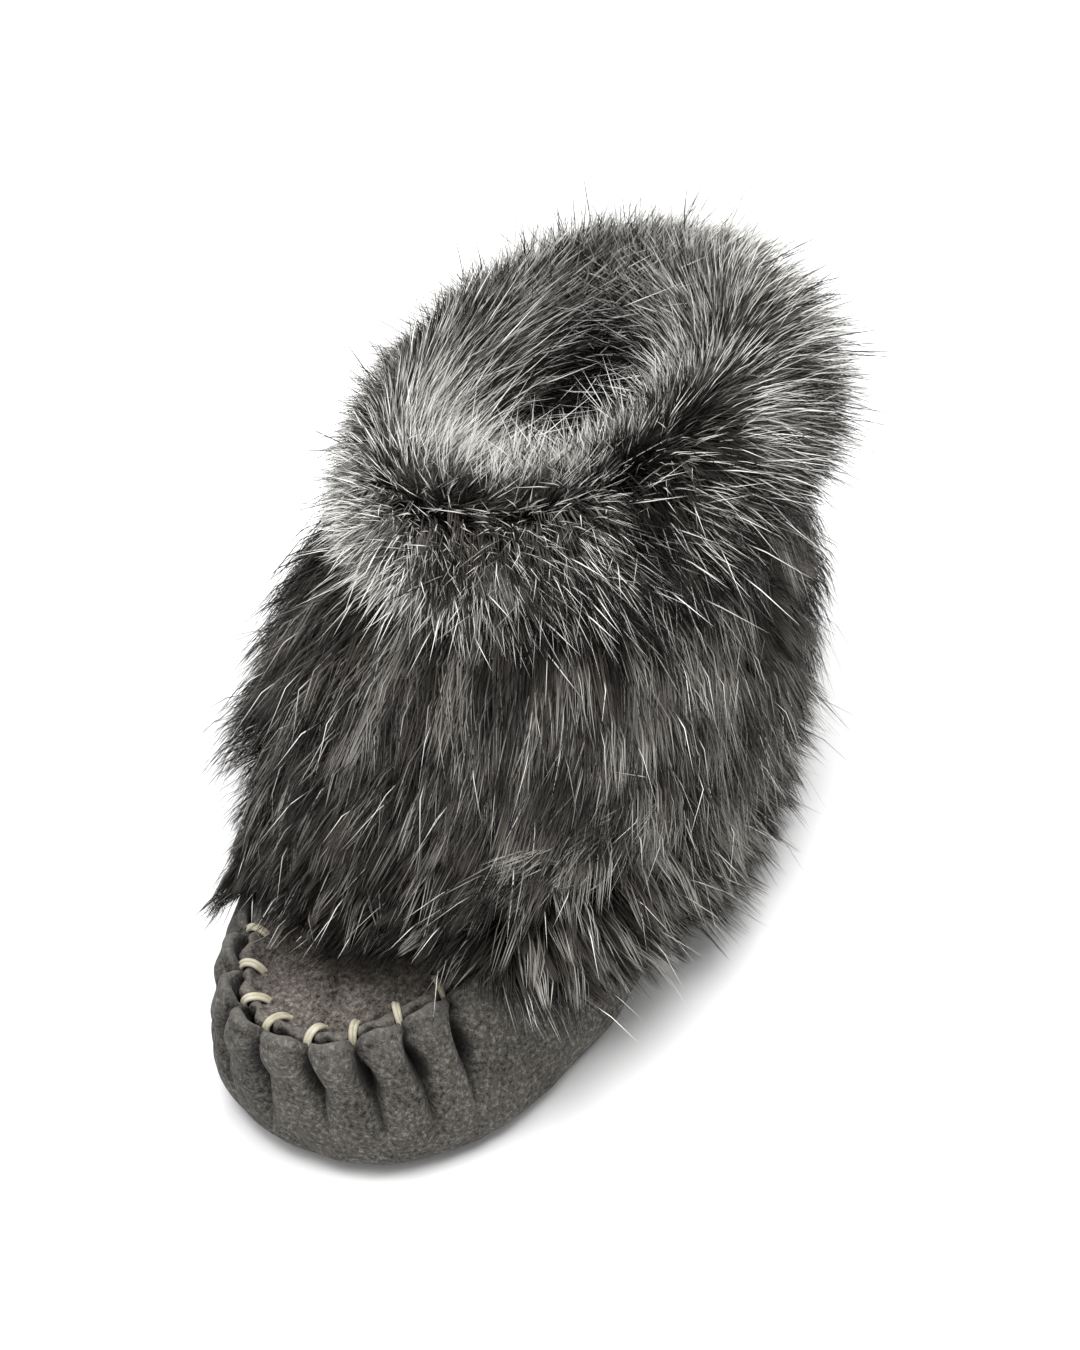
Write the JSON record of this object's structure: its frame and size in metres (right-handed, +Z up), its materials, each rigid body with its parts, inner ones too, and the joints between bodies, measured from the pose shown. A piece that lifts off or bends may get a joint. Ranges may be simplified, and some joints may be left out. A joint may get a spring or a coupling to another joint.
{
  "type": "baby moccasin",
  "caption": "Soft baby moccasin with a gathered, whip-stitched toe in grey hide, a suede toe plug and a deep fur cover with a fur cuff round the ankle.",
  "frame": {"origin": "on the floor under the middle of the sole", "axes": "+Z up, toe towards -Y, heel towards +Y, X across the shoe"},
  "size_m": [0.0823, 0.1427, 0.0927],
  "materials": {
    "hide": "napped grey suede, heathered",
    "plug": "napped brownish-grey suede",
    "pelt": "matt skin side of a pelt",
    "fleece": "short fleece",
    "vamp_fur": "long silver-tipped grey fur",
    "cuff_fur": "long silver-tipped grey fur",
    "thread": "waxed cream cord"
  },
  "bodies": {
    "root": {"bottom_hide": "hide", "toe_plug": "plug", "ankle_upper": "pelt", "insole": "fleece", "vamp_fur": "vamp_fur", "cuff_fur": "cuff_fur", "toe_stitch_01": "thread", "toe_stitch_02": "thread", "toe_stitch_03": "thread", "toe_stitch_04": "thread", "toe_stitch_05": "thread", "toe_stitch_06": "thread", "toe_stitch_07": "thread", "toe_stitch_08": "thread"}
  },
  "joints": []
}
